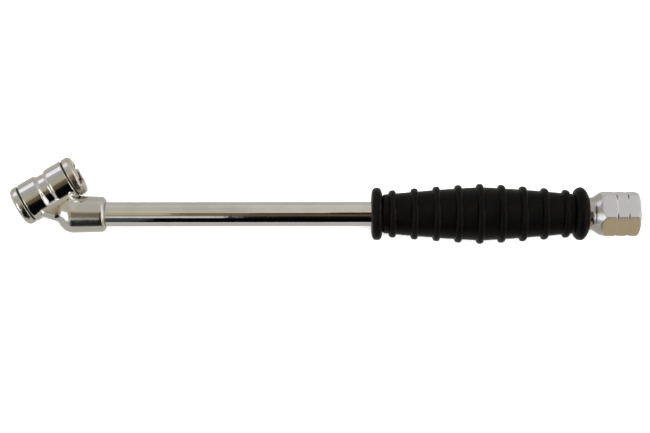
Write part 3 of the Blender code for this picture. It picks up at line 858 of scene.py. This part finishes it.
def make_grip(looks):
    """The moulded grip: a swelling body with evenly spaced ribs between its two flanges."""
    pitch = (GRIP_LENGTH - LAST_RIB_FROM_END - FIRST_RIB) / (RIB_COUNT - 1)
    outer = front_flange()
    for rib in range(RIB_COUNT):
        centre = FIRST_RIB + rib * pitch + RIB_BOW * math.sin(math.pi * rib / (RIB_COUNT - 1))
        before = outer[-1][0] + 0.5
        for station in np.linspace(before, centre - RIB_HALF - 0.35, 10):
            outer.append((station, grip_body(station)))
        outer += bead(centre, RIB_HALF, grip_body, RIB_HEIGHT + 0.03, 18, 0.82)
        outer.append((centre + RIB_HALF + 0.3, grip_body(centre + RIB_HALF + 0.3)))
    inner = CONNECTOR_NECK + 0.06
    outer += rear_flange(inner)
    shelf = GRIP_LENGTH - SHELF_FROM_END
    profile = outer + [(outer[-1][0] - 0.3, inner), (shelf, inner), (shelf, TUBE_RADIUS + 0.05)]
    profile = [(GRIP_START + station, radius) for station, radius in rounded(profile, 0.22, 3)]
    rng = np.random.default_rng(7)
    waves = rng.uniform(0, 2 * math.pi, (6, 2))

    def height(station, turn, radius):
        """A mould seam on both sides, and the slight unevenness of moulded rubber."""
        outside = radius > TUBE_RADIUS + 2.2
        seam = np.exp(-((np.sin(turn) * radius / 0.28) ** 2))
        uneven = sum(np.sin(station * (0.21 + 0.13 * k) + turn * (k + 1) + waves[k, 0]) for k in range(6)) / 6
        return radius + outside * (SEAM_HEIGHT * seam - 0.05 + 0.05 * uneven)

    grip = lathe("rubber_grip", profile, TOOL, looks["rubber"], 168, sharp=None, height=height)
    finish_piece(grip, "wand", "grip_rubber", "grip")


def connector_distance(points):
    """Distance to the inlet connector, in the tool frame: hexagon, cone, neck, then its bores."""
    x, y, z = points.T
    radius, back = np.hypot(y, z), INLET_FACE - x
    corner = HEX_CORNER + 0.04
    bar = radius - corner
    cone = (radius - CONNECTOR_NECK - CONE_SLOPE * (CONE_FROM_FACE - back)) / math.hypot(1, CONE_SLOPE)
    chamfer_slope = (corner - END_FACE_RADIUS) / CHAMFER_LENGTH
    chamfer = (radius - END_FACE_RADIUS - chamfer_slope * back) / math.hypot(1, chamfer_slope)
    turned = smooth_max(smooth_max(bar, cone, 0.3), smooth_max(chamfer, -back, 0.3), 0.25)
    for nick in NICKS_FROM_FACE:
        depth = HEX_CORNER - NICK_DEPTH + np.abs(back - nick) * NICK_DEPTH / NICK_HALF
        turned = np.maximum(turned, (radius - depth) * 0.55)
    flats = None
    for side in range(3):
        a = HEX_TURN + math.radians(30 + 60 * side)  # of the flat's normal, from +Z towards +Y
        flat = np.abs(y * math.sin(a) + z * math.cos(a)) - HEX_HALF
        flats = flat if flats is None else smooth_max(flats, flat, 0.3)
    shape = smooth_max(turned, flats, 0.22)
    neck = smooth_max(radius - CONNECTOR_NECK, np.maximum(back - INLET_LENGTH, 5 - back), 0.4)
    shape = smooth_min(shape, neck, 0.5)

    root = radius - THREAD_CREST - THREAD_DEPTH - 0.05
    bore = smooth_max(np.minimum(root, (radius - INLET_MOUTH + back) * 0.707), back - THREAD_LENGTH, 0.2)
    passage = cylinder_cut(back, radius, -5, THREAD_LENGTH + PASSAGE_LENGTH + 2, TUBE_BORE)
    pocket = cylinder_cut(back, radius, THREAD_LENGTH + PASSAGE_LENGTH, 99, BORE_RADIUS)
    return smooth_max(shape, -np.minimum(np.minimum(bore, passage), pocket), 0.25)


def make_connector(looks):
    """The air inlet: a nicked hexagon, its cone and the neck inside the grip."""
    reach = HEX_CORNER + 0.8
    low = (INLET_FACE - INLET_LENGTH - 0.8, -reach, -reach)
    high = (INLET_FACE + 0.8, reach, reach)
    step = 0.18
    connector = skin("hex_inlet", connector_distance, low, high, step, TOOL, looks["hex"])
    finish_piece(connector, "wand", "hex_chrome", "inlet_connector")


def make_thread(looks):
    """The thread's flanks, as a sleeve that lines the connector's bore."""

    def thread_height(station, turn, radius):
        back = INLET_FACE - station
        phase = (back / THREAD_PITCH + turn / (2 * math.pi)) % 1.0
        ridge = np.clip(np.abs(phase - 0.5) * 2.6 - 0.25, 0, 1)  # 1 at a crest and 0 at a root
        ridge = ridge * np.clip(THREAD_LENGTH - 1.2 - back, 0, 1)
        return np.maximum(THREAD_CREST + THREAD_DEPTH * (1 - ridge), INLET_MOUTH - back)

    backs = np.arange(0.33, THREAD_LENGTH - 0.05, 0.07)
    profile = [(INLET_FACE - back, THREAD_CREST) for back in backs]
    thread = lathe("inlet_thread", profile, TOOL, looks["thread"], 120, False, None, thread_height)
    finish_piece(thread, "wand", "hex_chrome", "inlet_connector")


def make_gauze(looks):
    """A woven disc, in which each wire goes over one crossing wire and under the next."""
    low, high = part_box("filter_screen")
    centre = ((low + high).x / 2 - TOOL.translation.x) / MM
    reach = (high - low).y / 2 / MM - 0.05
    paths = []
    count = int(reach / GAUZE_PITCH)
    for across in (False, True):
        for row in range(-count, count + 1):
            off = row * GAUZE_PITCH
            half = math.sqrt(max(reach**2 - off**2, 0)) - 0.02
            if half < 0.6:
                continue
            path = []
            for s in np.linspace(-half, half, max(8, int(half * 2 / 0.14))):
                lift = GAUZE_LIFT * math.cos(math.pi * s / GAUZE_PITCH + math.pi * (row + across))
                path.append((centre + lift, off, s) if across else (centre + lift, s, off))
            paths.append(path)
    points, faces = wire_mesh(paths, GAUZE_WIRE, 6)
    screen = add_mesh("gauze_screen", points, faces, TOOL, looks["gauze"])
    finish_piece(screen, "wand", "mesh_steel", "filter_screen")


def make_gauze_ring(looks):
    """The ring that holds the gauze against the bore's floor."""
    low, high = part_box("filter_ring")
    start, end = stations("filter_ring")
    outer = (high - low).y / 2 / MM
    inner = outer - RING_WIDTH
    profile = [(start, inner), (start, outer), (end, outer), (end, inner)]
    ring = lathe("gauze_ring", rounded(profile, 0.3), TOOL, looks["spring"])
    finish_piece(ring, "wand", "spring_steel", "filter_ring")


# ---------------------------------------------------------------- riding, nodes that stay


def finish_piece(piece, body, slot, *nodes):
    """The piece rides on the body and stands in for the CAD nodes; slot is not used."""
    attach(piece, body)
    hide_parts(*nodes)


def dress_nodes(looks):
    """The CAD nodes that no piece replaces get their materials."""
    for name, node in frame["nodes"].items():
        if node.hide_render:
            continue
        if "seat_ring" in name:
            look = looks[name.split("_")[0] + "_brass"]
        else:
            look = looks["seal"]
        node.data.materials.clear()
        node.data.materials.append(look)


# ---------------------------------------------------------------- stage, in metres

TOOL_AXIS = TOOL.translation
CARD_DISTANCE = 1.3
FLOOR_REACH = 6.0
LEAN_REACH = 0.15
CAMERA_HEIGHT = 0.695
DARK = (0.003, 0.003, 0.005)

# Strips of studio wall: name, where it starts and ends in degrees from straight up towards +Y, its
# left and right ends along X, its colour and, where it isn't CARD_DISTANCE, how far off it is
CARDS = (
    ("window_left", 62, 93, -1.7, -0.75, (1.62, 1.62, 1.85)),
    ("side_left", 64, 96, -0.75, -0.15, (0.80, 0.80, 0.76)),
    ("side_right", 64, 96, -0.15, 3, (0.90, 0.88, 0.84)),
    ("cool_left", 46, 62, -3, -0.45, (0.72, 0.73, 0.78)),
    ("neutral_left", 30, 46, -3, -0.45, (0.67, 0.67, 0.66)),
    ("warm_left", 4, 30, -3, -0.45, (0.72, 0.69, 0.57)),
    ("grey_near", 34, 64, -0.45, -0.15, (0.72, 0.73, 0.68)),
    ("warm_near", 10, 34, -0.45, -0.15, (0.80, 0.75, 0.62)),
    ("grey_middle", 34, 64, -0.15, 0.12, (0.86, 0.84, 0.78)),
    ("warm_middle", 10, 34, -0.15, 0.12, (0.92, 0.85, 0.79)),
    ("warm_right", 12, 64, 0.12, 3, (0.80, 0.79, 0.77)),
    ("overhead_far", -13, 4, -3, -0.30, (0.65, 0.58, 0.42)),
    ("overhead_near", -13, 10, -0.30, -0.15, (0.25, 0.20, 0.14)),
    ("overhead_gap", 4, 10, -0.45, -0.30, (0.65, 0.58, 0.42)),
    ("overhead_middle", -6, 10, -0.15, 0, (0.13, 0.09, 0.045)),
    ("overhead_right", -6, 17, 0, 3, (0.05, 0.03, 0.012)),
    ("overhead_line", -22, -6, -0.19, 3, (0.15, 0.12, 0.08)),
    ("brown_left", -22, -13, -3, -0.19, (0.34, 0.30, 0.25)),
    ("cream_left", -37, -22, -0.45, -0.19, (1.0, 1.0, 0.98)),
    ("window_low", -50, 2, -1.9, -0.8, (2.6, 2.6, 2.9), 1.2),
    ("rim_window", -75, 72, 0.62, 1.25, (1.9, 1.9, 1.85), 1.2),
    ("cream_far", -50, -22, -3, -0.45, (0.80, 0.78, 0.68)),
    ("dark_right", -37, -22, -0.19, 3, (0.01, 0.008, 0.006)),
    ("dark_side", -85, -37, -0.33, 0.25, DARK),
    ("slate_left", -85, -37, -0.45, -0.33, (0.09, 0.10, 0.10)),
    ("dark_low_right", -93, -37, 0.25, 0.6, DARK),
    ("tan_corner", -80, -37, 0.6, 3, (0.35, 0.28, 0.17)),
    ("low_left", -85, -50, -3, -0.6, (0.66, 0.65, 0.60)),
    ("low_fade", -85, -50, -0.6, -0.45, (0.32, 0.33, 0.32)),
    ("tan_near", -104, -58, 0.10, 0.6, (0.67, 0.515, 0.285), 0.3),
    ("left_beyond", -95, 95, -12, -3, (0.70, 0.69, 0.66)),
    ("window_far", -95, 50, 2, 12, (2.3, 2.3, 2.25), 1.2),
    ("below", -264, -93, -3, 3, (0.72, 0.71, 0.67)),
)


def add_stage(name, points, faces, material):
    """A flat-shaded mesh that belongs to the stage and not to the tool."""
    mesh = bpy.data.meshes.new(name)
    mesh.from_pydata(points, [], faces)
    mesh.materials.append(material)
    made = bpy.data.objects.new(name, mesh)
    bpy.context.scene.collection.objects.link(made)
    return made


def make_floor():
    """A pale floor that the tool's head and fattest rib both touch.

    It leans along the stretch under the tool and is level beyond it.
    """
    outline = []
    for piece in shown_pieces():
        if piece.type == "MESH":
            outline.append(np.array([(v.co.x, v.co.z) for v in piece.data.vertices]))
    outline = np.concatenate(outline)
    rest = outline[outline[:, 1].argmin()]
    ahead = outline[outline[:, 0] < rest[0] - 0.05]
    lean = ((ahead[:, 1] - rest[1]) / (rest[0] - ahead[:, 0])).min()
    points = []
    for x in (-FLOOR_REACH, -LEAN_REACH, LEAN_REACH, FLOOR_REACH):
        height = rest[1] + lean * (rest[0] - min(max(x, -LEAN_REACH), LEAN_REACH))
        points += [(x, -FLOOR_REACH, height), (x, FLOOR_REACH, height)]
    faces = [(a, a + 2, a + 3, a + 1) for a in (0, 2, 4)]
    look = Look("studio_floor_paper", 0.0)
    look.color((0.90, 0.90, 0.90), (0.88, 0.88, 0.88), look.noise(40, 3))
    look.rough(look.ranged(look.noise(3, 3), 0.3, 0.7, 0.65, 0.8))
    look.relief(look.noise(0.5, 3), 0.01)
    look.shader.inputs["Emission Color"].default_value = (1, 1, 1, 1)
    look.shader.inputs["Emission Strength"].default_value = 0.2
    floor = add_stage("studio_floor", points, faces, look.material)
    floor.visible_glossy = False


def make_card(name, start, end, left, right, color, distance=CARD_DISTANCE):
    """A glowing strip round the tool's axis that only reflections show."""
    material = bpy.data.materials.new(name)
    material.use_nodes = True
    tree = material.node_tree
    tree.nodes.clear()
    glow = tree.nodes.new("ShaderNodeEmission")
    glow.inputs["Color"].default_value = (*color, 1)
    output = tree.nodes.new("ShaderNodeOutputMaterial")
    tree.links.new(glow.outputs[0], output.inputs["Surface"])
    steps = max(2, (end - start) // 4)
    points, faces = [], []
    for step in range(steps + 1):
        a = math.radians(start + (end - start) * step / steps)
        y = TOOL_AXIS.y + distance * math.sin(a)
        z = TOOL_AXIS.z + distance * math.cos(a)
        points += [(left, y, z), (right, y, z)]
    for step in range(steps):
        a = 2 * step
        faces.append((a, a + 1, a + 3, a + 2))
    card = add_stage(name, points, faces, material)
    card.visible_camera = False
    card.visible_diffuse = False
    card.visible_shadow = False
    card.visible_transmission = False


def make_lamp():
    """A large soft lamp high above the tool, aimed at it from a little to its +X and +Y sides."""
    light = bpy.data.lights.new("soft_overhead", "AREA")
    light.shape = "SQUARE"
    light.size = 2.2
    light.energy = 85
    lamp = bpy.data.objects.new("soft_overhead", light)
    lamp.location = (0.3, 0.5, 1.9)
    lamp.rotation_euler = (-lamp.location).to_track_quat("-Z", "Y").to_euler()
    lamp.visible_glossy = False
    bpy.context.scene.collection.objects.link(lamp)


def make_stage():
    make_floor()
    for card in CARDS:
        make_card(*card)
    make_lamp()
    world = bpy.data.worlds.new("studio_air")
    world.use_nodes = True
    world.node_tree.nodes["Background"].inputs["Color"].default_value = (1, 1, 1, 1)
    bpy.context.scene.world = world
    bpy.context.scene.view_settings.view_transform = "Standard"


def make_camera():
    """Straight above the tool, a hair to the -Y side of its axis and a hair turned."""
    camera = bpy.data.cameras.new("main_camera")
    camera.lens = 94.15
    camera.sensor_width = 36
    camera.clip_start = 0.01
    made = bpy.data.objects.new("main_camera", camera)
    made.location = (0.0002, TOOL_AXIS.y - 1.04 * MM, TOOL_AXIS.z + CAMERA_HEIGHT)
    made.rotation_euler.z = -0.001
    bpy.context.scene.collection.objects.link(made)
    bpy.context.scene.camera = made


# ---------------------------------------------------------------- everything

looks = make_looks()
make_head(looks)
for end in ENDS:
    make_cap(end, looks)
    make_seals(end, looks)
    make_poppet(end, looks)
    make_spring(end, looks)
make_tube(looks)
make_grip(looks)
make_connector(looks)
make_thread(looks)
make_gauze(looks)
make_gauze_ring(looks)
dress_nodes(looks)
make_stage()
make_camera()
